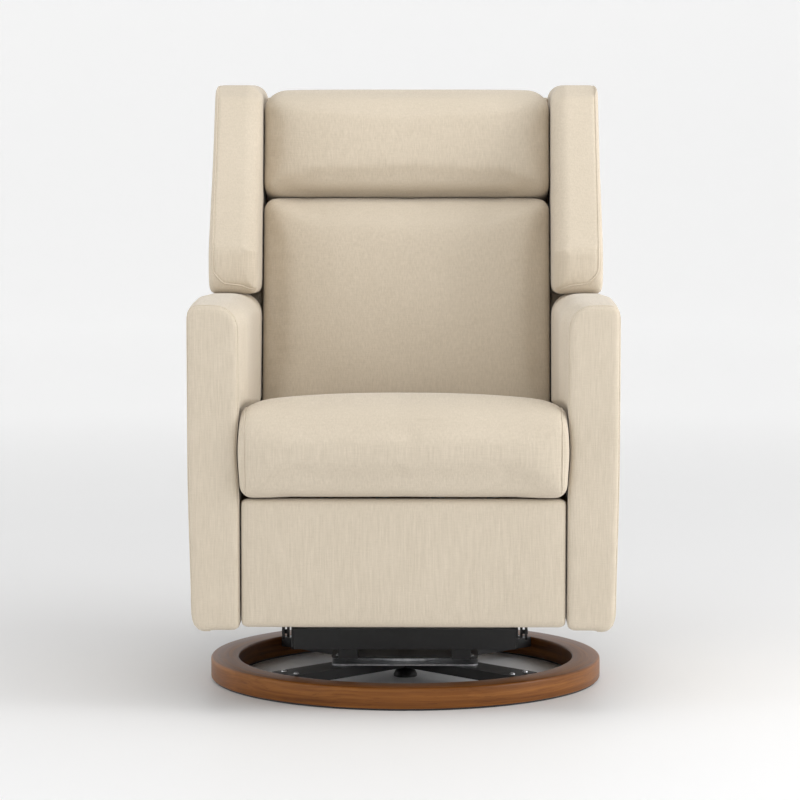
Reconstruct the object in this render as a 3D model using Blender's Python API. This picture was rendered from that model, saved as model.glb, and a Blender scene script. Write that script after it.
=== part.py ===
"""Wing-back swivel glider with a footrest, for a nursery.

The chair faces -Y. Every position below is measured from the swivel axis, at floor level. The base empty
then moves the whole chair along Y, so that the middle of its outline stands on the world origin.
"""
import math

import bmesh
import bpy
from mathutils import Matrix, Vector

# Upholstered body
SEAT_WIDTH = 0.555
ARM_THICKNESS = 0.0875
ARM_FRONT = -0.389
ARM_REAR = 0.235
HIP_REAR = 0.349
HIP_TOP = 0.352
ARM_BOTTOM = 0.144
ARM_TOP = 0.697
ARM_INNER_RADIUS = 0.040
ARM_OUTER_RADIUS = 0.017
ARM_FOOT_RADIUS = 0.026
ARM_PAD_BULGE = 0.009
ARM_PAD_FRONT = -0.350
ARM_PAD_REAR = 0.060
SEAT_FRONT = -0.410
BACK_SEAT_GAP = 0.001
SEAT_BOTTOM = 0.3705
SEAT_THICKNESS = 0.168
SEAT_REAR_DROP = 0.050
SEAT_SIDE_CLEARANCE = 0.0015
APRON_THICKNESS = 0.0265
APRON_BOTTOM = 0.160
SEAT_FRONT_FOOT_RADIUS = 0.018
SEAT_FRONT_TOP_RADIUS = 0.050
SEAT_REAR_TOP_RADIUS = 0.025
CUSHION_EDGE = 0.014
ARM_EDGE = 0.008
ARM_PAD_EDGE = 0.0035
ARM_PAD_RADIUS = 0.020
ARM_PAD_CLEARANCE = 0.002
APRON_EDGE = 0.006

# Back, which leans on its own plane and turns on the recline pivots
BACK_LEAN = math.radians(14)
PIVOT_Y = 0.300
PIVOT_Z = 0.360
BACK_FOOT = 0.030
WING_TOP = 1.065
WING_THICKNESS = 0.086
WING_TOP_FRONT = 0.212
WING_LOW_FRONT = 0.030
WING_CLEARANCE = 0.003
WING_FOOT = 0.012
WING_ARM_CLEARANCE = 0.010
CUSHION_DEPTH = 0.153
CUSHION_BOTTOM = 0.022
HEAD_SEAM = 0.468
HEAD_TOP = 0.664
HEAD_TOP_RISE = 0.034
SEAM_GAP = 0.002
FRAME_THICKNESS = 0.040
FRAME_TOP = 0.690
FRAME_RAIL = 0.060
OUTSIDE_THICKNESS = 0.0267
OUTSIDE_TOP = 0.715
OUTSIDE_INSET = 0.002
OUTSIDE_RADIUS = 0.016
OUTSIDE_EDGE = 0.008
LUMBAR_FOOT_RADIUS = 0.030
PILLOW_SEAM_RADIUS = 0.022
HEAD_TOP_RADIUS = 0.034
WING_EDGE = 0.010
WING_FOOT_RADIUS = 0.030
WING_TOP_RADIUS = 0.034
WING_BEND_RADIUS = 0.060
WING_BEND_FORWARD = 0.004
WING_BEND_HEIGHT = 0.070

# Base ring and its cross
RING_DIAMETER = 0.702
RING_WIDTH = 0.050
RING_HEIGHT = 0.040
RING_EDGE_RADIUS = 0.004
PAD_THICKNESS = 0.003
PAD_INSET = 0.004
CROSS_ARM_WIDTH = 0.060
CROSS_BOTTOM = 0.022
CROSS_THICKNESS = 0.018
FOOT_RADIUS = 0.021

# Swivel bearing
BEARING_PLATE_WIDTH = 0.260
BEARING_PLATE_THICKNESS = 0.003
BEARING_PLATE_RADIUS = 0.012
BALL_RACE_RADIUS = 0.090
BALL_RACE_WIDTH = 0.020
BALL_RACE_HEIGHT = 0.0094
BOLT_RADIUS = 0.008
BOLT_HEAD_RADIUS = 0.014
BOLT_HEAD_HEIGHT = 0.007
BOLT_CLEARANCE = 0.001
BEARER_X = 0.100
BEARER_WIDTH = 0.034
BEARER_HEIGHT = 0.0171

# Glider frame and its hanging links
STAND_X = 0.196
STAND_LENGTH = 0.310
STAND_TOP_LENGTH = 0.270
GLIDER_RAIL_HEIGHT = 0.036
GLIDER_RAIL_DEPTH = 0.025
GLIDE_PIVOT_Y = 0.120
GLIDE_TOP_Z = 0.200
GLIDE_LINK_LENGTH = 0.100
PLATE = 0.004
LANE_GAP = 0.0045
LINK_RADIUS = 0.012
PIN_RADIUS = 0.004
PIN_HEAD_RADIUS = 0.007
PIN_HEAD_HEIGHT = 0.0015
PIN_CLEARANCE = 0.0006
STUD_END = 0.001
STAND_ABOVE_PIVOT = 0.004
STAND_FOOT_RADIUS = 0.004
STAND_TOP_RADIUS = 0.012
STAND_WINDOW_SIDE = 0.034
STAND_WINDOW_TOP = 0.022
STAND_WINDOW_RADIUS = 0.010

# Seat mechanism
SEAT_FRAME_FRONT = -0.342
SEAT_FRAME_REAR = 0.205
SEAT_FRAME_HEIGHT = 0.025
SEAT_FRAME_RAIL = 0.070
SPRING_COUNT = 4
SPRING_PITCH = 0.095
SPRING_WIRE = 0.0018
SPRING_WAVE = 0.022
SPRING_BENDS = 9
SPRING_SAG = 0.0057
RAIL_FRONT = -0.300
RAIL_REAR = 0.250
RAIL_HEIGHT = 0.050
RAIL_LEG_WIDTH = 0.036
RAIL_END_RADIUS = 0.008
LEG_ROOT_RADIUS = 0.006
LEG_FOOT_RADIUS = 0.012
LEG_BELOW_LINK = 0.003
CROSS_TUBE_RADIUS = 0.012
CROSS_TUBE_BORE = 0.0095
FRONT_TUBE_Y = -0.270
REAR_TUBE_Y = 0.170
BRACKET_THICKNESS = 0.005
BRACKET_RADIUS = 0.020
BRACKET_FROM_TUBE = 0.030
BRACKET_MARGIN = 0.004
HINGE_PLATE_GAP = 0.002
HINGE_PLATE_LENGTH = 0.150
HINGE_PLATE_INSET = 0.002
HINGE_PLATE_FORWARD = 0.003

# Footrest and its folding links
PANEL_BOTTOM = 0.152
PANEL_FRONT = -0.386
PANEL_PAD_THICKNESS = 0.028
PANEL_BOARD_THICKNESS = 0.012
PANEL_SIDE_GAP = 0.003
PANEL_TOP_GAP = 0.0025
PANEL_EDGE = 0.008
BOARD_INSET = 0.012
FOLD_Y = -0.150
FOLD_Z = 0.315
LOWER_LINK_LENGTH = 0.200
LOWER_LINK_ANGLE = math.radians(-115)
PANEL_PIVOT_BEHIND = 0.020
PANEL_PIVOT_HEIGHT = 0.078
PANEL_TUBE_FROM_PIVOT = 0.032
PANEL_TUBE_RADIUS = 0.008
PANEL_TUBE_BORE = 0.006
PANEL_BRACKET_RADIUS = 0.012
PANEL_BRACKET_BELOW = 0.050
PANEL_BRACKET_ABOVE = 0.070

# Clearances
GAP = 0.0003
ROUND_STEPS = 5
RING_STEPS = 80
SIDES = {"left": -1, "right": 1}

# Directions for plates: a plate is drawn in its own X and Y and is thick along its own Z
LYING = (0.0, 0.0, 0.0)
FACING_FRONT = (math.pi / 2, 0.0, 0.0)
FACING_SIDE = (math.pi / 2, 0.0, math.pi / 2)
ALONG_X = (0.0, math.pi / 2, 0.0)

# Places that follow from the sizes above
ARM_INNER_X = SEAT_WIDTH / 2
CUSHION_HALF_WIDTH = ARM_INNER_X - ARM_PAD_BULGE - WING_CLEARANCE
CUSHION_REAR = FRAME_THICKNESS + SEAM_GAP
CUSHION_FRONT = CUSHION_REAR + CUSHION_DEPTH
CUSHION_FOOT_Y = PIVOT_Y + CUSHION_BOTTOM * math.sin(BACK_LEAN) - CUSHION_FRONT * math.cos(BACK_LEAN)
SEAT_REAR = CUSHION_FOOT_Y - BACK_SEAT_GAP
WING_INNER_X = CUSHION_HALF_WIDTH + SEAM_GAP
WING_OUTER_X = WING_INNER_X + WING_THICKNESS
RING_OUTER = RING_DIAMETER / 2
RING_INNER = RING_OUTER - RING_WIDTH
CROSS_TOP = CROSS_BOTTOM + CROSS_THICKNESS
LOWER_PLATE_Z = CROSS_TOP + GAP
BALL_RACE_Z = LOWER_PLATE_Z + BEARING_PLATE_THICKNESS + GAP
UPPER_PLATE_Z = BALL_RACE_Z + BALL_RACE_HEIGHT + GAP
BEARER_Z = UPPER_PLATE_Z + BEARING_PLATE_THICKNESS + GAP
GLIDER_RAIL_Z = BEARER_Z + BEARER_HEIGHT + GAP
GLIDE_LOW_Z = GLIDE_TOP_Z - GLIDE_LINK_LENGTH
SEAT_FRAME_TOP = SEAT_BOTTOM - 2 * SPRING_WIRE - 4 * GAP - SPRING_SAG
SEAT_FRAME_Z = SEAT_FRAME_TOP - SEAT_FRAME_HEIGHT
RAIL_TOP = SEAT_FRAME_Z - GAP
RAIL_BOTTOM = RAIL_TOP - RAIL_HEIGHT
PANEL_TOP = SEAT_BOTTOM - PANEL_TOP_GAP
BOARD_FRONT = PANEL_FRONT + PANEL_PAD_THICKNESS + GAP
BOARD_REAR = BOARD_FRONT + PANEL_BOARD_THICKNESS
PANEL_PIVOT = (BOARD_REAR + GAP + PANEL_PIVOT_BEHIND, PANEL_BOTTOM + PANEL_PIVOT_HEIGHT)


def lane(number):
    """Middle X of one of the side-by-side planes that the moving plates turn in."""
    return STAND_X + number * (PLATE + LANE_GAP) + PLATE / 2


STAND_LANE = lane(0)
GLIDE_LANE = lane(1)
RAIL_LANE = lane(2)
LOWER_LINK_LANE = lane(3)
UPPER_LINK_LANE = lane(4)
PANEL_BRACKET_LANE = lane(5)
RECLINE_BRACKET_X = RAIL_LANE - PLATE / 2 - GAP - BRACKET_THICKNESS / 2
HINGE_PLATE_X = RECLINE_BRACKET_X - BRACKET_THICKNESS - HINGE_PLATE_GAP
STILE_INNER_X = HINGE_PLATE_X + BRACKET_THICKNESS / 2 + GAP


def back_point(up, forward):
    """Y and Z of a point given along the leaning back and forward of it, from the recline pivot."""
    y = PIVOT_Y + up * math.sin(BACK_LEAN) - forward * math.cos(BACK_LEAN)
    z = PIVOT_Z + up * math.cos(BACK_LEAN) + forward * math.sin(BACK_LEAN)
    return y, z


def along(start, angle, length):
    """Y and Z at a distance from a point, the angle counted from forward (-Y) up to +Z."""
    return start[0] - length * math.cos(angle), start[1] + length * math.sin(angle)


FOLD_PIVOT = (FOLD_Y, FOLD_Z)
KNEE_PIVOT = along(FOLD_PIVOT, LOWER_LINK_ANGLE, LOWER_LINK_LENGTH)
BACK_REAR_Y = back_point(OUTSIDE_TOP, -GAP - OUTSIDE_THICKNESS)[0]
SWIVEL_Y = -(SEAT_FRONT + BACK_REAR_Y) / 2

# Where each moving body's joint lies
BODY_ORIGINS = {
    "base": (0, 0, 0),
    "swivel_frame": (0, 0, UPPER_PLATE_Z),
    "front_glide_links": (0, -GLIDE_PIVOT_Y, GLIDE_TOP_Z),
    "rear_glide_links": (0, GLIDE_PIVOT_Y, GLIDE_TOP_Z),
    "seat_body": (0, -GLIDE_PIVOT_Y, GLIDE_LOW_Z),
    "back": (0, PIVOT_Y, PIVOT_Z),
    "footrest_lower_links": (0, *FOLD_PIVOT),
    "footrest_upper_links": (0, *KNEE_PIVOT),
    "footrest": (0, *PANEL_PIVOT),
}
BODY_PARENTS = {
    "swivel_frame": "base",
    "front_glide_links": "swivel_frame",
    "rear_glide_links": "swivel_frame",
    "seat_body": "front_glide_links",
    "back": "seat_body",
    "footrest_lower_links": "seat_body",
    "footrest_upper_links": "footrest_lower_links",
    "footrest": "footrest_upper_links",
}


def clear_scene():
    for item in list(bpy.data.objects):
        bpy.data.objects.remove(item, do_unlink=True)


def make_material(name, colour, roughness, metallic=0.0):
    material = bpy.data.materials.new(name)
    material.use_nodes = True
    shader = material.node_tree.nodes["Principled BSDF"]
    shader.inputs["Base Color"].default_value = (*colour, 1.0)
    shader.inputs["Roughness"].default_value = roughness
    shader.inputs["Metallic"].default_value = metallic
    return material


def make_materials():
    return {
        "fabric": make_material("cream_fabric", (0.64, 0.57, 0.45), 0.95),
        "walnut": make_material("stained_wood", (0.17, 0.065, 0.022), 0.40),
        "timber": make_material("frame_timber", (0.55, 0.40, 0.24), 0.75),
        "black_steel": make_material("black_steel", (0.012, 0.012, 0.013), 0.38, 0.6),
        "zinc": make_material("zinc_steel", (0.60, 0.60, 0.58), 0.35, 1.0),
        "black_plastic": make_material("black_plastic", (0.010, 0.010, 0.010), 0.45),
    }


def make_bodies():
    """One empty on each joint axis, in a tree."""
    empties = {}
    for name, origin in BODY_ORIGINS.items():
        empty = bpy.data.objects.new("axis_" + name, None)
        bpy.context.collection.objects.link(empty)
        if name in BODY_PARENTS:
            parent = BODY_PARENTS[name]
            empty.parent = empties[parent]
            empty.location = Vector(origin) - Vector(BODY_ORIGINS[parent])
        else:
            empty.location = (0, SWIVEL_Y, 0)
        empties[name] = empty
    return empties


clear_scene()
MATERIALS = make_materials()
BODIES = make_bodies()


def place(data, name, body, material, location, rotation=LYING):
    """Add an object for a mesh or curve, at a place measured from the swivel axis."""
    item = bpy.data.objects.new(name, data)
    bpy.context.collection.objects.link(item)
    item.parent = BODIES[body]
    item.location = Vector(location) - Vector(BODY_ORIGINS[body])
    item.rotation_euler = rotation
    data.materials.append(MATERIALS[material])
    return item


def circle(radius, centre=(0.0, 0.0), points=14):
    turn = 2 * math.pi / points
    return [(centre[0] + radius * math.cos(i * turn), centre[1] + radius * math.sin(i * turn))
            for i in range(points)]


def rounded_outline(corners, steps=ROUND_STEPS):
    """A closed outline from (x, y, radius) corners."""
    points = []
    for index, (x, y, radius) in enumerate(corners):
        corner = Vector((x, y))
        if radius == 0:
            points.append(tuple(corner))
            continue
        to_before = (Vector(corners[index - 1][:2]) - corner).normalized()
        to_after = (Vector(corners[(index + 1) % len(corners)][:2]) - corner).normalized()
        half = to_before.angle(to_after) / 2
        centre = corner + (to_before + to_after).normalized() * (radius / math.sin(half))
        first = corner + to_before * (radius / math.tan(half)) - centre
        last = corner + to_after * (radius / math.tan(half)) - centre
        turn = first.angle_signed(last)
        for step in range(steps + 1):
            arm = Matrix.Rotation(-turn * step / steps, 2) @ first
            points.append(tuple(centre + arm))
    return points


def rectangle(x_low, x_high, y_low, y_high, radius=0.0):
    return rounded_outline([(x_low, y_low, radius), (x_high, y_low, radius),
                            (x_high, y_high, radius), (x_low, y_high, radius)])


def bar_outline(start, end, radius, steps=7):
    """A flat bar with round ends from one point to another."""
    run = Vector(end) - Vector(start)
    heading = math.atan2(run.y, run.x)
    points = []
    for centre, first in ((end, heading - math.pi / 2), (start, heading + math.pi / 2)):
        for step in range(steps + 1):
            angle = first + math.pi * step / steps
            points.append((centre[0] + radius * math.cos(angle), centre[1] + radius * math.sin(angle)))
    return points


def flat_plate(name, body, material, outline, holes, thickness, location, rotation=LYING):
    """A plate cut to an outline with holes, its thickness centred on its location."""
    curve = bpy.data.curves.new(name, "CURVE")
    curve.dimensions = "2D"
    curve.fill_mode = "BOTH"
    curve.extrude = thickness / 2
    for loop in [outline, *holes]:
        spline = curve.splines.new("POLY")
        spline.points.add(len(loop) - 1)
        for point, (x, y) in zip(spline.points, loop):
            point.co = (x, y, 0.0, 1.0)
        spline.use_cyclic_u = True
    return place(curve, name, body, material, location, rotation)


def side_plate(name, body, material, outline, holes, thickness, x):
    """A plate drawn in Y and Z, standing across X."""
    return flat_plate(name, body, material, outline, holes, thickness, (x, 0, 0), FACING_SIDE)


def solid_from_outline(name, outline, thickness):
    """A closed mesh: the outline extruded both ways along Z."""
    mesh = bpy.data.meshes.new(name)
    shape = bmesh.new()
    verts = [shape.verts.new((x, y, -thickness / 2)) for x, y in outline]
    face = shape.faces.new(verts)
    face.normal_update()
    if face.normal.z > 0:
        face.normal_flip()
    top = bmesh.ops.extrude_face_region(shape, geom=[face])
    moved = [item for item in top["geom"] if isinstance(item, bmesh.types.BMVert)]
    bmesh.ops.translate(shape, verts=moved, vec=(0, 0, thickness))
    bmesh.ops.recalc_face_normals(shape, faces=shape.faces)
    shape.to_mesh(mesh)
    shape.free()
    return mesh


def padded_slab(name, body, outline, thickness, edge, location, rotation, segments=3):
    """An upholstered slab whose rims are rounded."""
    item = place(solid_from_outline(name, outline, thickness), name, body, "fabric", location, rotation)
    bevel = item.modifiers.new("rim", "BEVEL")
    bevel.width = edge
    bevel.segments = segments
    bevel.limit_method = "ANGLE"
    bevel.angle_limit = math.radians(50)
    return item


def block(name, body, material, size, centre):
    """A rectangular bar."""
    outline = rectangle(-size[0] / 2, size[0] / 2, -size[1] / 2, size[1] / 2)
    return place(solid_from_outline(name, outline, size[2]), name, body, material, centre)


def turned(name, body, material, profile, location, rotation=LYING, closed=False, steps=20):
    """A round piece: a profile of (radius, height) points, listed down its outer side."""
    mesh = bpy.data.meshes.new(name)
    count = len(profile)
    edges = [(i, i + 1) for i in range(count - 1)]
    if closed:
        edges.append((count - 1, 0))
    mesh.from_pydata([(radius, 0.0, height) for radius, height in profile], edges, [])
    item = place(mesh, name, body, material, location, rotation)
    screw = item.modifiers.new("turn", "SCREW")
    screw.steps = steps
    screw.render_steps = steps
    screw.use_merge_vertices = True
    screw.merge_threshold = 0.0001
    screw.use_smooth_shade = True
    return item


def cutter(name, radius, length, location, body):
    """A hidden cylinder along X that a Boolean uses."""
    mesh = solid_from_outline(name, circle(radius), length)
    item = place(mesh, name, body, "black_steel", location, ALONG_X)
    item.hide_render = True
    item.display_type = "WIRE"
    return item


def box_cutter(name, body, low, high):
    """A hidden box, given by its lowest and highest corners, that a Boolean uses."""
    outline = rectangle(low[0], high[0], low[1], high[1])
    mesh = solid_from_outline(name, outline, high[2] - low[2])
    item = place(mesh, name, body, "black_steel", (0, 0, (low[2] + high[2]) / 2))
    item.hide_render = True
    item.display_type = "WIRE"
    return item


def add_boolean(item, operand, operation):
    modifier = item.modifiers.new(operand.name, "BOOLEAN")
    modifier.operation = operation
    modifier.solver = "EXACT"
    modifier.object = operand


def make_link(name, body, ends, x, bores, studs):
    """A flat link with bored ends and pressed-in studs, each stud given as (end, X it reaches)."""
    mesh = solid_from_outline(name, bar_outline(ends[0], ends[1], LINK_RADIUS), PLATE)
    item = place(mesh, name, body, "black_steel", (x, 0, 0), FACING_SIDE)
    for index, (y, z) in enumerate(bores):
        hole = cutter(f"{name}_bore_{index}", PIN_RADIUS + PIN_CLEARANCE, 3 * PLATE, (x, y, z), body)
        add_boolean(item, hole, "DIFFERENCE")
    for index, ((y, z), reach) in enumerate(studs):
        stud = cutter(f"{name}_stud_{index}", PIN_RADIUS, abs(reach - x), ((x + reach) / 2, y, z), body)
        add_boolean(item, stud, "UNION")
    return item


def make_pin(name, body, inner_x, outer_x, side, y, z):
    """A headed pin across X that holds plates between its two heads."""
    half = (outer_x - inner_x) / 2
    profile = [(0, half), (PIN_HEAD_RADIUS, half), (PIN_HEAD_RADIUS, half - PIN_HEAD_HEIGHT),
               (PIN_RADIUS, half - PIN_HEAD_HEIGHT), (PIN_RADIUS, PIN_HEAD_HEIGHT - half),
               (PIN_HEAD_RADIUS, PIN_HEAD_HEIGHT - half), (PIN_HEAD_RADIUS, -half), (0, -half)]
    centre = (side * (inner_x + outer_x) / 2, y, z)
    return turned(name, body, "zinc", profile, centre, ALONG_X, steps=14)


def make_base():
    edge = RING_EDGE_RADIUS
    wood_bottom = PAD_THICKNESS + GAP
    arc = [(RING_OUTER - edge + edge * math.sin(a), RING_HEIGHT - edge + edge * math.cos(a))
           for a in (0.0, math.pi / 6, math.pi / 3, math.pi / 2)]
    profile = [*arc, (RING_OUTER, wood_bottom), (RING_INNER, wood_bottom), (RING_INNER, RING_HEIGHT)]
    turned("wood_ring", "base", "walnut", profile, (0, 0, 0), closed=True, steps=RING_STEPS)
    pad = [(RING_OUTER - PAD_INSET, PAD_THICKNESS), (RING_OUTER - PAD_INSET, 0),
           (RING_INNER + PAD_INSET, 0), (RING_INNER + PAD_INSET, PAD_THICKNESS)]
    turned("ring_pad", "base", "black_plastic", pad, (0, 0, 0), closed=True, steps=RING_STEPS)
    make_cross()
    foot_top = CROSS_BOTTOM - GAP
    foot = [(0, foot_top), (BOLT_RADIUS, foot_top), (BOLT_RADIUS, foot_top - 0.003),
            (FOOT_RADIUS * 0.6, foot_top - 0.005), (FOOT_RADIUS * 0.9, 0.009), (FOOT_RADIUS, 0.004),
            (FOOT_RADIUS, 0), (0, 0)]
    turned("centre_foot", "base", "black_plastic", foot, (0, 0, 0), steps=24)


def make_cross():
    """Two crossed flat arms inside the ring, in one weldment."""
    half = CROSS_ARM_WIDTH / 2
    reach = math.sqrt((RING_INNER - GAP) ** 2 - half ** 2)
    quarter = [(half, half), (reach, half), (reach, -half)]
    outline = []
    for turn in range(4):
        spin = Matrix.Rotation(math.pi / 4 - turn * math.pi / 2, 2)
        outline += [tuple(spin @ Vector(point)) for point in quarter]
    middle = CROSS_BOTTOM + CROSS_THICKNESS / 2
    hole = circle(BOLT_RADIUS + GAP)
    flat_plate("cross_frame", "base", "black_steel", outline, [hole], CROSS_THICKNESS, (0, 0, middle))


def make_bearing():
    half = BEARING_PLATE_WIDTH / 2
    square = rectangle(-half, half, -half, half, BEARING_PLATE_RADIUS)
    hole = circle(BOLT_RADIUS + BOLT_CLEARANCE)
    middle = LOWER_PLATE_Z + BEARING_PLATE_THICKNESS / 2
    flat_plate("bearing_lower_plate", "base", "zinc", square, [hole], BEARING_PLATE_THICKNESS,
               (0, 0, middle))
    outer = BALL_RACE_RADIUS + BALL_RACE_WIDTH / 2
    inner = BALL_RACE_RADIUS - BALL_RACE_WIDTH / 2
    race = [(outer, BALL_RACE_HEIGHT), (outer, 0), (inner, 0), (inner, BALL_RACE_HEIGHT)]
    turned("bearing_ball_race", "base", "zinc", race, (0, 0, BALL_RACE_Z), closed=True, steps=32)
    middle = UPPER_PLATE_Z + BEARING_PLATE_THICKNESS / 2
    flat_plate("bearing_upper_plate", "swivel_frame", "black_steel", square, [hole],
               BEARING_PLATE_THICKNESS, (0, 0, middle))
    head = BEARER_Z + BOLT_HEAD_HEIGHT
    bolt = [(0, head), (BOLT_HEAD_RADIUS, head), (BOLT_HEAD_RADIUS, BEARER_Z), (BOLT_RADIUS, BEARER_Z),
            (BOLT_RADIUS, CROSS_BOTTOM), (0, CROSS_BOTTOM)]
    turned("pivot_bolt", "base", "zinc", bolt, (0, 0, 0), steps=14)


def make_swivel_frame():
    rail_y = (STAND_LENGTH - GLIDER_RAIL_DEPTH) / 2
    rail_length = 2 * (STAND_X - GAP)
    middle = GLIDER_RAIL_Z + GLIDER_RAIL_HEIGHT / 2
    for name, y in (("front", -rail_y), ("rear", rail_y)):
        size = (rail_length, GLIDER_RAIL_DEPTH, GLIDER_RAIL_HEIGHT)
        block(f"{name}_glider_rail", "swivel_frame", "black_steel", size, (0, y, middle))
    for side_name, side in SIDES.items():
        size = (BEARER_WIDTH, STAND_LENGTH, BEARER_HEIGHT)
        centre = (side * BEARER_X, 0, BEARER_Z + BEARER_HEIGHT / 2)
        block(f"{side_name}_bearer", "swivel_frame", "black_steel", size, centre)
        make_stand(side_name, side)


def make_stand(side_name, side):
    """A side plate of the glider frame, with a window, and the two pins that the links hang on."""
    foot = STAND_LENGTH / 2
    shoulder = STAND_TOP_LENGTH / 2
    top = GLIDE_TOP_Z + LINK_RADIUS + STAND_ABOVE_PIVOT
    outline = rounded_outline([(-foot, GLIDER_RAIL_Z, STAND_FOOT_RADIUS),
                               (foot, GLIDER_RAIL_Z, STAND_FOOT_RADIUS),
                               (shoulder, top, STAND_TOP_RADIUS),
                               (-shoulder, top, STAND_TOP_RADIUS)])
    window_x = GLIDE_PIVOT_Y - STAND_WINDOW_SIDE
    window = rectangle(-window_x, window_x, GLIDER_RAIL_Z + GLIDER_RAIL_HEIGHT, top - STAND_WINDOW_TOP,
                       STAND_WINDOW_RADIUS)
    pins = [-GLIDE_PIVOT_Y, GLIDE_PIVOT_Y]
    holes = [circle(PIN_RADIUS + PIN_CLEARANCE, (y, GLIDE_TOP_Z)) for y in pins]
    side_plate(f"{side_name}_glider_stand", "swivel_frame", "black_steel", outline, [window, *holes],
               PLATE, side * STAND_LANE)
    slack = PIN_HEAD_HEIGHT + GAP
    for end, y in zip(("front", "rear"), pins):
        make_pin(f"{end}_{side_name}_glide_pin", "swivel_frame", STAND_LANE - PLATE / 2 - slack,
                 GLIDE_LANE + PLATE / 2 + slack, side, y, GLIDE_TOP_Z)


def make_glide_links():
    for side_name, side in SIDES.items():
        for end, y in (("front", -GLIDE_PIVOT_Y), ("rear", GLIDE_PIVOT_Y)):
            top = (y, GLIDE_TOP_Z)
            low = (y, GLIDE_LOW_Z)
            stud_end = side * (RAIL_LANE + PLATE / 2 + STUD_END)
            make_link(f"{end}_{side_name}_glide_link", f"{end}_glide_links", (top, low),
                      side * GLIDE_LANE, [top], [(low, stud_end)])


def mechanism_rail_outline():
    """A long bar with two legs that carry the lower glide pivots."""
    corners = [(RAIL_FRONT, RAIL_BOTTOM, RAIL_END_RADIUS)]
    foot = GLIDE_LOW_Z - LINK_RADIUS - LEG_BELOW_LINK
    for y in (-GLIDE_PIVOT_Y, GLIDE_PIVOT_Y):
        half = RAIL_LEG_WIDTH / 2
        corners += [(y - half, RAIL_BOTTOM, LEG_ROOT_RADIUS), (y - half, foot, LEG_FOOT_RADIUS),
                    (y + half, foot, LEG_FOOT_RADIUS), (y + half, RAIL_BOTTOM, LEG_ROOT_RADIUS)]
    corners += [(RAIL_REAR, RAIL_BOTTOM, RAIL_END_RADIUS), (RAIL_REAR, RAIL_TOP, 0),
                (RAIL_FRONT, RAIL_TOP, 0)]
    return rounded_outline(corners, 4)


def make_mechanism():
    outline = mechanism_rail_outline()
    pivots = [(-GLIDE_PIVOT_Y, GLIDE_LOW_Z), (GLIDE_PIVOT_Y, GLIDE_LOW_Z), FOLD_PIVOT]
    holes = [circle(PIN_RADIUS + PIN_CLEARANCE, pivot) for pivot in pivots]
    for side_name, side in SIDES.items():
        side_plate(f"{side_name}_mechanism_rail", "seat_body", "black_steel", outline, holes, PLATE,
                   side * RAIL_LANE)
        make_recline_hinge(side_name, side)
    tube_length = 2 * (RAIL_LANE - PLATE / 2 - GAP)
    tube_z = RAIL_BOTTOM + RAIL_HEIGHT / 2
    for end, y in (("front", FRONT_TUBE_Y), ("rear", REAR_TUBE_Y)):
        side_plate(f"{end}_cross_tube", "seat_body", "black_steel",
                   circle(CROSS_TUBE_RADIUS, (y, tube_z), 16), [circle(CROSS_TUBE_BORE, (y, tube_z), 16)],
                   tube_length, 0)


def make_recline_hinge(side_name, side):
    """The fixed bracket, the plate on the back and the pin that joins them."""
    arc = [(PIVOT_Y + BRACKET_RADIUS * math.cos(a), PIVOT_Z + BRACKET_RADIUS * math.sin(a))
           for a in [math.radians(-40 + 20 * i) for i in range(9)]]
    bracket = [(REAR_TUBE_Y + BRACKET_FROM_TUBE, RAIL_BOTTOM + BRACKET_MARGIN),
               (RAIL_REAR, RAIL_BOTTOM + BRACKET_MARGIN), *arc,
               (REAR_TUBE_Y + BRACKET_FROM_TUBE, RAIL_TOP - BRACKET_MARGIN)]
    bore = circle(PIN_RADIUS + PIN_CLEARANCE, (PIVOT_Y, PIVOT_Z))
    side_plate(f"{side_name}_recline_bracket", "seat_body", "black_steel", bracket, [bore],
               BRACKET_THICKNESS, side * RECLINE_BRACKET_X)
    round_end = BRACKET_RADIUS - HINGE_PLATE_INSET
    foot = [back_point(-round_end * math.sin(a), -round_end * math.cos(a))
            for a in [math.radians(30 * i) for i in range(7)]]
    near = HINGE_PLATE_FORWARD
    far = FRAME_THICKNESS - near
    plate = [*foot, back_point(BACK_FOOT, far), back_point(HINGE_PLATE_LENGTH, far),
             back_point(HINGE_PLATE_LENGTH, near), back_point(BACK_FOOT, near)]
    side_plate(f"{side_name}_back_hinge_plate", "back", "black_steel", plate, [bore], BRACKET_THICKNESS,
               side * HINGE_PLATE_X)
    slack = PIN_HEAD_HEIGHT + GAP
    make_pin(f"{side_name}_recline_pin", "back", HINGE_PLATE_X - BRACKET_THICKNESS / 2 - slack,
             RECLINE_BRACKET_X + BRACKET_THICKNESS / 2 + slack, side, PIVOT_Y, PIVOT_Z)


def make_seat():
    half = ARM_INNER_X - GAP
    outline = rectangle(-half, half, SEAT_FRAME_FRONT, SEAT_FRAME_REAR)
    inner = half - SEAT_FRAME_RAIL
    window = rectangle(-inner, inner, SEAT_FRAME_FRONT + SEAT_FRAME_RAIL,
                       SEAT_FRAME_REAR - SEAT_FRAME_RAIL)
    middle = SEAT_FRAME_Z + SEAT_FRAME_HEIGHT / 2
    flat_plate("seat_frame", "seat_body", "timber", outline, [window], SEAT_FRAME_HEIGHT, (0, 0, middle))
    for index in range(SPRING_COUNT):
        make_spring(index)
    top_front = SEAT_BOTTOM + SEAT_THICKNESS
    top_rear = top_front - SEAT_REAR_DROP
    side = rounded_outline([(SEAT_FRONT, SEAT_BOTTOM, SEAT_FRONT_FOOT_RADIUS), (SEAT_REAR, SEAT_BOTTOM, 0),
                            (SEAT_REAR, top_rear, SEAT_REAR_TOP_RADIUS),
                            (SEAT_FRONT, top_front, SEAT_FRONT_TOP_RADIUS)])
    width = 2 * (ARM_INNER_X - SEAT_SIDE_CLEARANCE)
    padded_slab("seat_cushion", "seat_body", side, width, CUSHION_EDGE, (0, 0, 0), FACING_SIDE)


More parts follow.
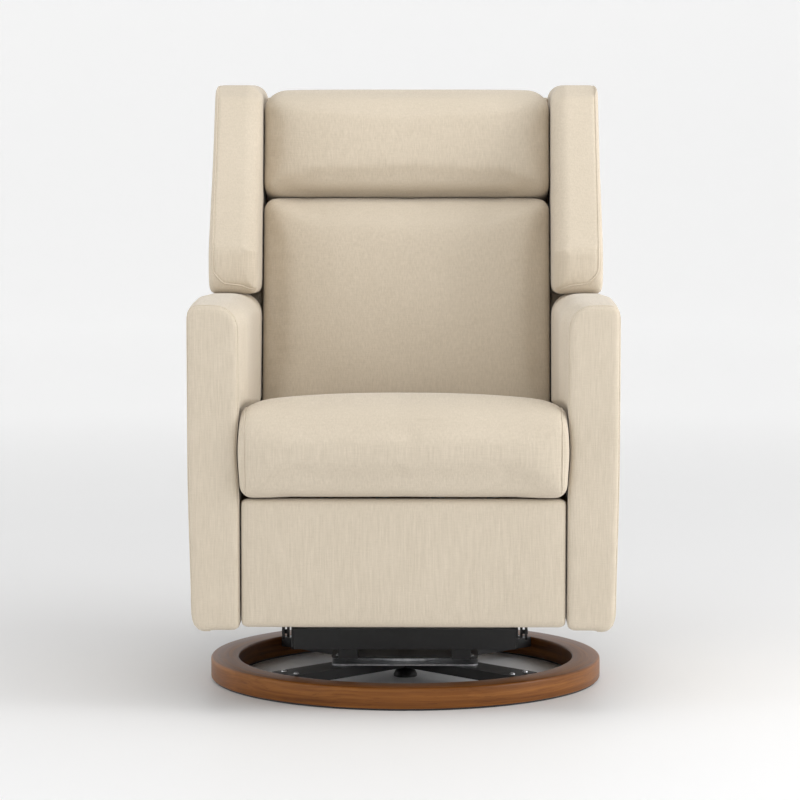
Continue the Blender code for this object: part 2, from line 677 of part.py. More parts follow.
def make_spring(index):
    """A sinuous wire spring across the seat frame, from its front rail to its rear rail."""
    curve = bpy.data.curves.new("spring", "CURVE")
    curve.dimensions = "3D"
    curve.bevel_depth = SPRING_WIRE
    curve.bevel_resolution = 0
    curve.use_fill_caps = True
    start = SEAT_FRAME_FRONT + SEAT_FRAME_RAIL / 2
    length = SEAT_FRAME_REAR - SEAT_FRAME_FRONT - SEAT_FRAME_RAIL
    count = SPRING_BENDS * 4 + 1
    spline = curve.splines.new("POLY")
    spline.points.add(count - 1)
    for step, point in enumerate(spline.points):
        share = step / (count - 1)
        sway = SPRING_WAVE * math.sin(2 * math.pi * SPRING_BENDS * share)
        point.co = (sway, start + length * share, 0.0, 1.0)
    x = (index - (SPRING_COUNT - 1) / 2) * SPRING_PITCH
    z = SEAT_FRAME_TOP + GAP + SPRING_WIRE
    place(curve, f"seat_spring_{index + 1}", "seat_body", "zinc", (x, 0, z))


def make_arms():
    """Padded arms. Behind the seat each one steps down to a low hip that hides the recline hinge."""
    half = ARM_THICKNESS / 2
    for side_name, side in SIDES.items():
        inner = -side * half
        outer = side * half
        corners = [(inner, ARM_BOTTOM, 0), (outer, ARM_BOTTOM, ARM_FOOT_RADIUS),
                   (outer, ARM_TOP, ARM_OUTER_RADIUS), (inner, ARM_TOP, ARM_INNER_RADIUS)]
        x = side * (ARM_INNER_X + half)
        arm = padded_slab(f"{side_name}_arm", "seat_body", rounded_outline(corners),
                          HIP_REAR - ARM_FRONT, ARM_EDGE, (x, (ARM_FRONT + HIP_REAR) / 2, 0),
                          FACING_FRONT, 2)
        low = (x - ARM_THICKNESS, ARM_REAR, HIP_TOP)
        high = (x + ARM_THICKNESS, HIP_REAR + ARM_THICKNESS, ARM_TOP + ARM_THICKNESS)
        step = box_cutter(f"{side_name}_arm_step", "seat_body", low, high)
        add_boolean(arm, step, "DIFFERENCE")
        arm.modifiers.move(1, 0)
        make_arm_pad(side_name, side)


def make_apron():
    """The rear panel between the two hips, behind the recline hinges."""
    half = ARM_INNER_X - GAP
    outline = rectangle(-half, half, APRON_BOTTOM, HIP_TOP)
    y = HIP_REAR - APRON_THICKNESS / 2
    padded_slab("rear_apron", "seat_body", outline, APRON_THICKNESS, APRON_EDGE, (0, y, 0), FACING_FRONT, 2)


def make_arm_pad(side_name, side):
    """The soft lining on the inner face of an arm, above the seat cushion."""
    low = SEAT_BOTTOM + SEAT_THICKNESS + ARM_PAD_CLEARANCE
    high = ARM_TOP - ARM_INNER_RADIUS - ARM_PAD_CLEARANCE
    outline = rectangle(ARM_PAD_FRONT, ARM_PAD_REAR, low, high, ARM_PAD_RADIUS)
    thickness = ARM_PAD_BULGE - GAP
    x = side * (ARM_INNER_X - GAP - thickness / 2)
    padded_slab(f"{side_name}_arm_pad", "seat_body", outline, thickness, ARM_PAD_EDGE, (x, 0, 0),
                FACING_SIDE, 2)


def make_back():
    half = WING_INNER_X - GAP
    low_rail = HINGE_PLATE_LENGTH + GAP
    outline = [(-half, BACK_FOOT), (-STILE_INNER_X, BACK_FOOT), (-STILE_INNER_X, low_rail),
               (STILE_INNER_X, low_rail), (STILE_INNER_X, BACK_FOOT), (half, BACK_FOOT),
               (half, FRAME_TOP), (-half, FRAME_TOP)]
    windows = []
    for low, high in ((low_rail + FRAME_RAIL / 2, HEAD_SEAM), (HEAD_SEAM, FRAME_TOP)):
        windows.append(rectangle(-STILE_INNER_X, STILE_INNER_X, low + FRAME_RAIL / 2,
                                 high - FRAME_RAIL / 2))
    lean = (math.pi / 2 - BACK_LEAN, 0.0, 0.0)
    y, z = back_point(0, FRAME_THICKNESS / 2)
    flat_plate("back_frame", "back", "timber", outline, windows, FRAME_THICKNESS, (0, y, z), lean)
    wide = WING_OUTER_X - OUTSIDE_INSET
    outside = rectangle(-wide, wide, BACK_FOOT, OUTSIDE_TOP, OUTSIDE_RADIUS)
    y, z = back_point(0, -GAP - OUTSIDE_THICKNESS / 2)
    padded_slab("outside_back", "back", outside, OUTSIDE_THICKNESS, OUTSIDE_EDGE, (0, y, z), lean, 2)
    make_back_cushions()
    make_wings()


def make_back_cushions():
    """The lumbar cushion and the head cushion, drawn from the side and extruded across."""
    rear, front = CUSHION_REAR, CUSHION_FRONT
    width = 2 * CUSHION_HALF_WIDTH
    lumbar = [(CUSHION_BOTTOM, front, LUMBAR_FOOT_RADIUS),
              (HEAD_SEAM - SEAM_GAP / 2, front, PILLOW_SEAM_RADIUS),
              (HEAD_SEAM - SEAM_GAP / 2, rear, 0), (CUSHION_BOTTOM, rear, 0)]
    head = [(HEAD_SEAM + SEAM_GAP / 2, front, PILLOW_SEAM_RADIUS), (HEAD_TOP, front, HEAD_TOP_RADIUS),
            (HEAD_TOP + HEAD_TOP_RISE, rear, 0), (HEAD_SEAM + SEAM_GAP / 2, rear, 0)]
    for name, corners in (("back_cushion", lumbar), ("head_cushion", head)):
        placed = [(*back_point(up, forward), radius) for up, forward, radius in corners]
        padded_slab(name, "back", rounded_outline(placed), width, CUSHION_EDGE, (0, 0, 0), FACING_SIDE)


def make_wings():
    """Padded side panels beside the cushions, which step down behind the arms."""
    low = ARM_TOP + WING_CLEARANCE
    behind_arm = ARM_REAR + WING_ARM_CLEARANCE
    foot_y, foot_z = back_point(WING_FOOT, GAP)
    rise = (WING_TOP - PIVOT_Z - GAP * math.sin(BACK_LEAN)) / math.cos(BACK_LEAN)
    top_rear = back_point(rise, GAP)
    corners = [(WING_LOW_FRONT, low, WING_FOOT_RADIUS), (behind_arm, low, 0), (behind_arm, foot_z, 0),
               (foot_y, foot_z, 0), (*top_rear, 0), (WING_TOP_FRONT, WING_TOP, WING_TOP_RADIUS),
               (WING_LOW_FRONT - WING_BEND_FORWARD, low + WING_BEND_HEIGHT, WING_BEND_RADIUS)]
    for side_name, side in SIDES.items():
        x = side * (WING_INNER_X + WING_THICKNESS / 2)
        padded_slab(f"{side_name}_wing", "back", rounded_outline(corners), WING_THICKNESS,
                    WING_EDGE, (x, 0, 0), FACING_SIDE)


def make_footrest():
    half = ARM_INNER_X - PANEL_SIDE_GAP
    pad = rectangle(-half, half, PANEL_BOTTOM, PANEL_TOP)
    y = PANEL_FRONT + PANEL_PAD_THICKNESS / 2
    padded_slab("footrest_pad", "footrest", pad, PANEL_PAD_THICKNESS, PANEL_EDGE, (0, y, 0),
                FACING_FRONT, 2)
    inset = BOARD_INSET
    board = rectangle(-half + inset, half - inset, PANEL_BOTTOM + inset, PANEL_TOP - inset)
    y = (BOARD_FRONT + BOARD_REAR) / 2
    flat_plate("footrest_board", "footrest", "timber", board, [], PANEL_BOARD_THICKNESS, (0, y, 0),
               FACING_FRONT)
    for side_name, side in SIDES.items():
        make_footrest_side(side_name, side)
    tube_y, tube_z = along(PANEL_PIVOT, upper_link_angle() + math.pi, PANEL_TUBE_FROM_PIVOT)
    side_plate("footrest_cross_tube", "footrest_upper_links", "black_steel",
               circle(PANEL_TUBE_RADIUS, (tube_y, tube_z), 14),
               [circle(PANEL_TUBE_BORE, (tube_y, tube_z), 14)],
               2 * (UPPER_LINK_LANE - PLATE / 2 - GAP), 0)


def upper_link_angle():
    return math.atan2(PANEL_PIVOT[1] - KNEE_PIVOT[1], KNEE_PIVOT[0] - PANEL_PIVOT[0])


def make_footrest_side(side_name, side):
    """One side's lower link, upper link and panel bracket, joined by studs."""
    make_link(f"{side_name}_lower_link", "footrest_lower_links", (FOLD_PIVOT, KNEE_PIVOT),
              side * LOWER_LINK_LANE, [],
              [(FOLD_PIVOT, side * (RAIL_LANE - PLATE / 2 - STUD_END)),
               (KNEE_PIVOT, side * (UPPER_LINK_LANE + PLATE / 2 + STUD_END))])
    make_link(f"{side_name}_upper_link", "footrest_upper_links", (KNEE_PIVOT, PANEL_PIVOT),
              side * UPPER_LINK_LANE, [KNEE_PIVOT],
              [(PANEL_PIVOT, side * (PANEL_BRACKET_LANE + PLATE / 2 + STUD_END))])
    y, z = PANEL_PIVOT
    root = BOARD_REAR + GAP
    nose = PANEL_BRACKET_RADIUS
    bracket = rounded_outline([(root, z - PANEL_BRACKET_BELOW, 0), (y + nose, z - nose, nose),
                               (y + nose, z + nose, nose), (root, z + PANEL_BRACKET_ABOVE, 0)], 3)
    bore = circle(PIN_RADIUS + PIN_CLEARANCE, PANEL_PIVOT)
    side_plate(f"{side_name}_panel_bracket", "footrest", "black_steel", bracket, [bore], PLATE,
               side * PANEL_BRACKET_LANE)


make_base()
make_bearing()
make_swivel_frame()
make_glide_links()
make_mechanism()
make_seat()
make_arms()
make_apron()
make_back()
make_footrest()
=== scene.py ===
"""Glider nursery chair: upholstery, materials, floor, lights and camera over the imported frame."""

import math

import bmesh
import bpy
import numpy as np
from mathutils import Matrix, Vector
from mathutils.bvhtree import BVHTree
from mathutils.kdtree import KDTree


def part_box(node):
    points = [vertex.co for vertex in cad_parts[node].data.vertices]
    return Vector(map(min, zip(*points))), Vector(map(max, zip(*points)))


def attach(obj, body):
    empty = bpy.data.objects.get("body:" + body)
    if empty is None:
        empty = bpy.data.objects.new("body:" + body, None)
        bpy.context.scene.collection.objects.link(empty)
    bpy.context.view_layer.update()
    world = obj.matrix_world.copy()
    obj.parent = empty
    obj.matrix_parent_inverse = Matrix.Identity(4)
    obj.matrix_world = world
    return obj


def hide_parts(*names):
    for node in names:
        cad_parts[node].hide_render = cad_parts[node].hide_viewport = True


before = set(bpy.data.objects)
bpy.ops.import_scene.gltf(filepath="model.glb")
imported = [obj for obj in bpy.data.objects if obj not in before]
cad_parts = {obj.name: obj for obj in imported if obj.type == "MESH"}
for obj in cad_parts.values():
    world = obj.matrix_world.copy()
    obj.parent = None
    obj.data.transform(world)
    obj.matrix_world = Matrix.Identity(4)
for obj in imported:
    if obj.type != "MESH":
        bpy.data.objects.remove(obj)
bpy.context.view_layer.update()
SIDES = {"left": -1, "right": 1}
SWIVEL_Y = (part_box("wood_ring")[0].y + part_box("wood_ring")[1].y) / 2
BACK_LEAN = math.radians(14)
HINGE_Y, HINGE_Z = SWIVEL_Y + 0.300, 0.360     # the recline pins
SEAT_DROP = 0.050                              # from the front of the seat's top to its rear
SEAM_RAISE = 0.006                             # of the seam between lumbar and head cushion, above the CAD's
SEAM_STEP = 0.003
WELT_RADIUS = 0.0016
WELT_LIFT = 0.0004
ARM_ROLL = 0.0045                              # how far the arm's roll passes the CAD arm pad
WING_FOOT_Z = 0.700
WING_EDGE = 0.030
RING_WIDTH = 0.050
SCREW_LIFT = 0.0002

CAMERA_DISTANCE = 6.034
CAMERA_HEIGHT = 1.061
CAMERA_SIDE = -0.0098
CAMERA_TILT = math.radians(84.7)
VIEW_TURN = math.radians(0.6)
WALL_START, WALL_BEND, WALL_TOP = 9.0, 3.0, 8.0


# ---------------------------------------------------------------- camera, floor and light

def make_camera():
    data = bpy.data.cameras.new("camera")
    data.lens = 151.7
    data.sensor_width = 36
    data.clip_end = 60
    camera = bpy.data.objects.new("camera", data)
    along = Vector((math.cos(VIEW_TURN), math.sin(VIEW_TURN), 0))
    away = Vector((math.sin(VIEW_TURN), -math.cos(VIEW_TURN), 0))
    camera.location = Vector((0, SWIVEL_Y, CAMERA_HEIGHT)) + CAMERA_DISTANCE * away + CAMERA_SIDE * along
    camera.rotation_euler = (CAMERA_TILT, 0, VIEW_TURN)
    bpy.context.scene.collection.objects.link(camera)
    bpy.context.scene.camera = camera


def make_floor():
    """A floor that curves up into a plain backdrop on every side, well beyond any camera, with painted light
    that grows with distance.
    """
    rings = [(WALL_START, 0.0)]
    for step in range(1, 13):
        angle = math.radians(90) * step / 12
        rings.append((WALL_START + WALL_BEND * math.sin(angle), WALL_BEND - WALL_BEND * math.cos(angle)))
    rings.append((WALL_START + WALL_BEND, WALL_TOP))
    mesh = bmesh.new()
    turns = 96
    centre = mesh.verts.new((0, 0, 0))
    loops = []
    for radius, height in rings:
        loops.append([mesh.verts.new((radius * math.cos(2 * math.pi * k / turns),
                                      radius * math.sin(2 * math.pi * k / turns), height))
                      for k in range(turns)])
    for k in range(turns):
        mesh.faces.new((centre, loops[0][k], loops[0][(k + 1) % turns]))
        for low, high in zip(loops, loops[1:]):
            mesh.faces.new((low[k], high[k], high[(k + 1) % turns], low[(k + 1) % turns]))
    floor = link_bmesh("studio_floor", mesh)
    g = Graph("studio_white")
    x, y, _ = g.split(g.where)
    away = g.math("SQRT", g.math("ADD", g.math("MULTIPLY", x, x), g.math("MULTIPLY", y, y)))
    g.shader.inputs["Roughness"].default_value = 0.6
    # Painted light and shade: the floor's colour is darker near the chair and lighter further out.
    g.set(g.shader.inputs["Base Color"], g.ramp(g.math("DIVIDE", away, 6.0), [
        (0.1, (0.79, 0.79, 0.792)), (1.0, (0.84, 0.84, 0.84))]))
    g.shader.inputs["Emission Color"].default_value = (1, 1, 1, 1)
    # Painted light: the floor glows, more strongly the further it lies from the chair, so it fades into the
    # backdrop.
    painted_glow = g.math("MULTIPLY", g.math("SUBTRACT", away, 0.4), 0.07)
    painted_glow = g.math("MINIMUM", g.math("MAXIMUM", painted_glow, 0.0), 0.32)
    g.set(g.shader.inputs["Emission Strength"], painted_glow)
    floor.data.materials.append(g.material)


def area_light(name, place, aim, size, power):
    data = bpy.data.lights.new(name, "AREA")
    data.shape = "RECTANGLE"
    data.size, data.size_y = size
    data.energy = power
    light = bpy.data.objects.new(name, data)
    light.location = place
    direction = Vector(aim) - Vector(place)
    light.rotation_euler = direction.to_track_quat("-Z", "Y").to_euler()
    bpy.context.scene.collection.objects.link(light)


def make_lights():
    bpy.context.scene.view_settings.view_transform = "Standard"
    world = bpy.data.worlds.new("studio")
    bpy.context.scene.world = world
    world.use_nodes = True
    world.node_tree.nodes["Background"].inputs["Color"].default_value = (1, 1, 1, 1)
    world.node_tree.nodes["Background"].inputs["Strength"].default_value = 0.37
    area_light("key", (3.4, -1.2, 1.6), (0, 0, 0.5), (2.2, 2.2), 90)
    area_light("fill", (-3.4, -1.8, 1.7), (0, 0, 0.5), (2.4, 2.4), 35)
    area_light("top", (0.2, -0.6, 3.9), (0, 0, 0), (3.0, 3.0), 47)
    area_light("front", (0.6, -5.0, 2.6), (0, 0, 0.6), (2.6, 2.0), 20)


# ---------------------------------------------------------------- materials

def new_material(name):
    material = bpy.data.materials.new(name)
    material.use_nodes = True
    nodes = material.node_tree.nodes
    return nodes, material.node_tree.links, nodes["Principled BSDF"]


class Graph:
    """Short names for the nodes that the materials share."""

    def __init__(self, name):
        self.nodes, self.links, self.shader = new_material(name)
        self.material = bpy.data.materials[name]
        self.where = self.nodes.new("ShaderNodeTexCoord").outputs["Object"]
        self.normal = self.nodes.new("ShaderNodeNewGeometry").outputs["Normal"]

    def set(self, socket, value):
        if isinstance(value, bpy.types.NodeSocket):
            self.links.new(value, socket)
        else:
            socket.default_value = value

    def math(self, operation, a, b=0.0, c=0.0):
        node = self.nodes.new("ShaderNodeMath")
        node.operation = operation
        for socket, value in zip(node.inputs, (a, b, c)):
            self.set(socket, value)
        return node.outputs[0]

    def split(self, vector):
        node = self.nodes.new("ShaderNodeSeparateXYZ")
        self.set(node.inputs[0], vector)
        return node.outputs

    def join(self, x, y, z):
        node = self.nodes.new("ShaderNodeCombineXYZ")
        for socket, value in zip(node.inputs, (x, y, z)):
            self.set(socket, value)
        return node.outputs[0]

    def stretch(self, vector, scale):
        node = self.nodes.new("ShaderNodeMapping")
        self.set(node.inputs["Vector"], vector)
        node.inputs["Scale"].default_value = scale
        return node.outputs[0]

    def noise(self, vector, scale, detail=3.0, rough=0.5):
        node = self.nodes.new("ShaderNodeTexNoise")
        self.set(node.inputs["Vector"], vector)
        node.inputs["Scale"].default_value = scale
        node.inputs["Detail"].default_value = detail
        node.inputs["Roughness"].default_value = rough
        return node.outputs[0]

    def mix(self, factor, a, b):
        node = self.nodes.new("ShaderNodeMix")
        node.data_type = "FLOAT"
        self.set(node.inputs[0], factor)
        self.set(node.inputs[2], a)
        self.set(node.inputs[3], b)
        return node.outputs[0]

    def ramp(self, factor, stops):
        node = self.nodes.new("ShaderNodeValToRGB")
        self.set(node.inputs[0], factor)
        ramp = node.color_ramp
        while len(ramp.elements) < len(stops):
            ramp.elements.new(1.0)
        for element, (at, colour) in zip(ramp.elements, stops):
            element.position = at
            element.color = (*colour, 1)
        return node.outputs[0]

    def bump(self, height, strength, distance, below=None):
        node = self.nodes.new("ShaderNodeBump")
        self.set(node.inputs["Height"], height)
        node.inputs["Strength"].default_value = strength
        node.inputs["Distance"].default_value = distance
        if below is not None:
            self.set(node.inputs["Normal"], below)
        return node.outputs[0]


def make_fabric(name, light, dark):
    """A plain weave with slubs that run up the upright faces and from front to back on the level ones."""
    g = Graph(name)
    level = g.math("POWER", g.math("ABSOLUTE", g.split(g.normal)[2]), 2.0)
    slub_up = g.noise(g.stretch(g.where, (420, 420, 26)), 1.0, 2.0, 0.6)
    slub_back = g.noise(g.stretch(g.where, (420, 26, 420)), 1.0, 2.0, 0.6)
    slub = g.mix(level, slub_up, slub_back)
    pick_across = g.noise(g.stretch(g.where, (60, 60, 620)), 1.0, 1.0)
    pick_level = g.noise(g.stretch(g.where, (60, 620, 620)), 1.0, 1.0)
    pick = g.mix(level, pick_across, pick_level)
    speck = g.noise(g.where, 1100.0, 1.0)
    cloud = g.noise(g.where, 7.0, 3.0)
    height = g.math("ADD", g.math("MULTIPLY", slub, 0.55), g.math("MULTIPLY", pick, 0.22))
    height = g.math("ADD", height, g.math("MULTIPLY", speck, 0.23))
    tone = g.math("ADD", g.math("MULTIPLY", height, 0.84), g.math("MULTIPLY", cloud, 0.16))
    colour = g.ramp(tone, [(0.30, dark), (0.70, light)])
    g.set(g.shader.inputs["Base Color"], colour)
    g.shader.inputs["Roughness"].default_value = 0.92
    g.shader.inputs["Sheen Weight"].default_value = 0.22
    g.shader.inputs["Sheen Roughness"].default_value = 0.45
    g.set(g.shader.inputs["Normal"], g.bump(height, 0.55, 0.0012))
    return g.material


def ring_place(g):
    """Along the ring, across it and up it, in metres."""
    x, y, z = g.split(g.where)
    y = g.math("SUBTRACT", y, SWIVEL_Y)
    angle = g.math("ARCTAN2", x, g.math("MULTIPLY", y, -1.0))
    radius = g.math("SQRT", g.math("ADD", g.math("MULTIPLY", x, x), g.math("MULTIPLY", y, y)))
    return g.math("MULTIPLY", angle, 0.32), radius, z


def make_stained_wood():
    """Bent walnut-coloured wood: its grain follows the ring, with fine dark pores."""
    g = Graph("walnut_stain")
    along, radius, z = ring_place(g)
    wander = g.math("MULTIPLY", g.noise(g.join(along, radius, z), 6.0, 2.0), 0.02)
    place = g.join(along, g.math("ADD", radius, wander), g.math("ADD", z, wander))
    bands = g.noise(g.stretch(place, (1.6, 75, 75)), 1.0, 4.0, 0.6)
    pores = g.noise(g.stretch(place, (16, 700, 700)), 1.0, 2.0, 0.6)
    fleck = g.noise(g.stretch(place, (5, 220, 220)), 1.0, 3.0, 0.6)
    tone = g.math("ADD", g.math("MULTIPLY", bands, 0.62), g.math("MULTIPLY", fleck, 0.38))
    pore_dark = g.math("GREATER_THAN", pores, 0.64)
    tone = g.math("SUBTRACT", tone, g.math("MULTIPLY", pore_dark, 0.10))
    colour = g.ramp(tone, [(0.30, (0.085, 0.026, 0.0045)), (0.50, (0.180, 0.062, 0.0110)),
                           (0.70, (0.300, 0.120, 0.026))])
    g.set(g.shader.inputs["Base Color"], colour)
    g.set(g.shader.inputs["Roughness"], g.math("ADD", g.math("MULTIPLY", bands, 0.16), 0.30))
    g.shader.inputs["Specular IOR Level"].default_value = 0.22
    g.set(g.shader.inputs["Normal"], g.bump(g.math("SUBTRACT", fleck, pore_dark), 0.15, 0.0006))
    return g.material


def make_timber():
    """Unfinished pine for the hidden frames, its grain along the longest parts."""
    g = Graph("frame_pine")
    place = g.stretch(g.where, (3, 60, 60))
    bands = g.noise(place, 1.0, 4.0, 0.6)
    fleck = g.noise(g.stretch(g.where, (14, 380, 380)), 1.0, 2.0)
    tone = g.math("ADD", g.math("MULTIPLY", bands, 0.7), g.math("MULTIPLY", fleck, 0.3))
    colour = g.ramp(tone, [(0.35, (0.42, 0.25, 0.11)), (0.65, (0.66, 0.46, 0.25))])
    g.set(g.shader.inputs["Base Color"], colour)
    g.shader.inputs["Roughness"].default_value = 0.62
    g.set(g.shader.inputs["Normal"], g.bump(tone, 0.2, 0.0008))
    return g.material


def make_black_steel():
    """Powder coat with a fine orange-peel texture, rubbed a little lighter in places."""
    g = Graph("powder_coat_black")
    peel = g.noise(g.where, 420.0, 2.0)
    rub = g.noise(g.where, 16.0, 4.0, 0.65)
    colour = g.ramp(rub, [(0.40, (0.0085, 0.0085, 0.0090)), (0.72, (0.021, 0.021, 0.022))])
    g.set(g.shader.inputs["Base Color"], colour)
    g.set(g.shader.inputs["Roughness"], g.math("ADD", g.math("MULTIPLY", rub, 0.22), 0.36))
    g.set(g.shader.inputs["Normal"], g.bump(peel, 0.22, 0.0005))
    return g.material


def make_zinc():
    g = Graph("zinc_plate")
    patch = g.noise(g.where, 70.0, 4.0, 0.6)
    brushed = g.noise(g.stretch(g.where, (60, 900, 900)), 1.0, 2.0)
    colour = g.ramp(patch, [(0.35, (0.40, 0.41, 0.43)), (0.65, (0.62, 0.62, 0.63))])
    g.set(g.shader.inputs["Base Color"], colour)
    g.shader.inputs["Metallic"].default_value = 1.0
    g.set(g.shader.inputs["Roughness"], g.math("ADD", g.math("MULTIPLY", brushed, 0.25), 0.22))
    g.set(g.shader.inputs["Normal"], g.bump(brushed, 0.08, 0.0003))
    return g.material


def make_black_plastic():
    g = Graph("moulded_black")
    grain = g.noise(g.where, 650.0, 2.0)
    haze = g.noise(g.where, 22.0, 3.0)
    colour = g.ramp(haze, [(0.35, (0.009, 0.009, 0.009)), (0.70, (0.019, 0.019, 0.019))])
    g.set(g.shader.inputs["Base Color"], colour)
    g.set(g.shader.inputs["Roughness"], g.math("ADD", g.math("MULTIPLY", haze, 0.18), 0.30))
    g.set(g.shader.inputs["Normal"], g.bump(grain, 0.2, 0.0004))
    return g.material


# ---------------------------------------------------------------- mesh tools

def link_bmesh(name, mesh):
    data = bpy.data.meshes.new(name)
    mesh.to_mesh(data)
    mesh.free()
    for polygon in data.polygons:
        polygon.use_smooth = True
    thing = bpy.data.objects.new(name, data)
    bpy.context.scene.collection.objects.link(thing)
    return thing


def points_of(thing):
    flat = np.empty(len(thing.data.vertices) * 3)
    thing.data.vertices.foreach_get("co", flat)
    return flat.reshape(-1, 3)


def set_points(thing, points):
    thing.data.vertices.foreach_set("co", points.astype(np.float32).ravel())
    thing.data.update()


def normals_of(thing):
    flat = np.empty(len(thing.data.vertices) * 3, np.float32)
    thing.data.vertex_normals.foreach_get("vector", flat)
    return flat.reshape(-1, 3).astype(float)


def apply_modifiers(thing):
    bpy.context.view_layer.update()
    graph = bpy.context.evaluated_depsgraph_get()
    old = thing.data
    thing.data = bpy.data.meshes.new_from_object(thing.evaluated_get(graph))
    thing.modifiers.clear()
    bpy.data.meshes.remove(old)


def copy_nodes(name, *nodes):
    """One mesh with the solids of these CAD nodes in it."""
    mesh = bmesh.new()
    for node in nodes:
        mesh.from_mesh(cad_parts[node].data)
    bmesh.ops.remove_doubles(mesh, verts=mesh.verts, dist=1e-6)
    return link_bmesh(name, mesh)


def remesh(thing, size):
    modifier = thing.modifiers.new("remesh", "REMESH")
    modifier.mode = "VOXEL"
    modifier.voxel_size = size
    apply_modifiers(thing)


def subdivide(thing):
    modifier = thing.modifiers.new("finer", "SUBSURF")
    modifier.levels = modifier.render_levels = 1
    apply_modifiers(thing)


def smooth(thing, rounds, share=0.5):
    """Each point moves towards the middle of its neighbours."""
    points = points_of(thing)
    edges = np.empty(len(thing.data.edges) * 2, int)
    thing.data.edges.foreach_get("vertices", edges)
    a, b = edges.reshape(-1, 2).T
    count = np.bincount(a, minlength=len(points)) + np.bincount(b, minlength=len(points))
    for _ in range(rounds):
        total = np.zeros_like(points)
        for axis in range(3):
            total[:, axis] = (np.bincount(a, points[b, axis], len(points))
                              + np.bincount(b, points[a, axis], len(points)))
        points += share * (total / np.maximum(count, 1)[:, None] - points)
    set_points(thing, points)


def bell(value, width):
    return np.exp(-(value / width) ** 2)


def ramp_up(value, low, high):
    t = np.clip((value - low) / (high - low), 0, 1)
    return t * t * (3 - 2 * t)


def inflate(thing, cap, frames=18, pressure=4.0):
    """Blows the piece up as cloth, and eases each point's move so that none goes further than the cap."""
    before = points_of(thing)
    cloth = thing.modifiers.new("cloth", "CLOTH")
    settings = cloth.settings
    settings.quality = 5
    settings.mass = 0.3
    settings.use_pressure = True
    settings.uniform_pressure_force = pressure
    settings.effector_weights.gravity = 0
    settings.tension_stiffness = settings.compression_stiffness = 14
    settings.bending_stiffness = 0.6
    cloth.point_cache.frame_start = 1
    cloth.point_cache.frame_end = frames
    for step in range(1, frames + 1):
        bpy.context.scene.frame_set(step)
    apply_modifiers(thing)
    bpy.context.scene.frame_set(1)
    moved = points_of(thing) - before
    length = np.linalg.norm(moved, axis=1)
    moved *= (cap / np.sqrt(cap ** 2 + length ** 2))[:, None]
    set_points(thing, before + moved)
    smooth(thing, 4)


def groove(thing, paths, depth=0.0012, width=0.0032):
    """Presses a seam into the piece along each path."""
    tree = KDTree(sum(len(path) for path in paths))
    for index, point in enumerate(point for path in paths for point in path):
        tree.insert(point, index)
    tree.balance()
    points = points_of(thing)
    normals = normals_of(thing)
    distance = np.array([tree.find(point)[2] for point in points])
    points -= normals * (depth * bell(distance, width))[:, None]
    set_points(thing, points)


def dense(path, step=SEAM_STEP):
    """The path with a point every step, and its corners kept."""
    points = [Vector(point) for point in path]
    out = []
    for a, b in zip(points, points[1:]):
        parts = max(1, round((b - a).length / step))
        out += [a.lerp(b, k / parts) for k in range(parts)]
    out.append(points[-1])
    return out


def snapped(thing, path, lift=0.0):
    """The path moved on to the surface of the piece, or lifted off it."""
    tree = BVHTree.FromPolygons([v.co.copy() for v in thing.data.vertices],
                                [tuple(p.vertices) for p in thing.data.polygons])
    out = []
    for point in path:
        place, normal, _, _ = tree.find_nearest(point)
        out.append(place + normal * lift)
    return out


def welt(name, thing, path, body, material):
    """A thin covered cord sewn along a seam."""
    line = snapped(thing, path, WELT_LIFT)
    for _ in range(3):
        line = [line[0]] + [(a + b * 2 + c) / 4 for a, b, c in zip(line, line[1:], line[2:])] + [line[-1]]
    data = bpy.data.curves.new(name, "CURVE")
    data.dimensions = "3D"
    data.bevel_depth = WELT_RADIUS
    data.bevel_resolution = 2
    data.use_fill_caps = True
    spline = data.splines.new("POLY")
    kept = line[::3]
    spline.points.add(len(kept) - 1)
    for point, place in zip(spline.points, kept):
        point.co = (*place, 1)
    data.materials.append(material)
    cord = bpy.data.objects.new(name, data)
    bpy.context.scene.collection.objects.link(cord)
    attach(cord, body)


def finish_soft(thing, body, material, nodes):
    thing.data.materials.clear()
    thing.data.materials.append(material)
    for polygon in thing.data.polygons:
        polygon.use_smooth = True
    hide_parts(*nodes)
    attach(thing, body)


def round_off(distances, radius):
    """How far to move a point in from each of three faces, so that they meet in a round edge.
    The distances are measured inwards from the faces, one column for each."""
    reach = np.maximum(0, radius - distances)
    length = np.linalg.norm(reach, axis=1)
    share = np.where(length > radius, radius / np.maximum(length, 1e-9), 1.0)
    return reach * (1 - share[:, None])


def wavy(path_length, seed):
    """A gentle uneven wave along a seam, the sum of three fixed waves."""
    return (np.sin(path_length / 0.0173 + seed) + 0.6 * np.sin(path_length / 0.0311 + 2 * seed)
            + 0.4 * np.sin(path_length / 0.0097 + 3 * seed))


# ---------------------------------------------------------------- upholstery

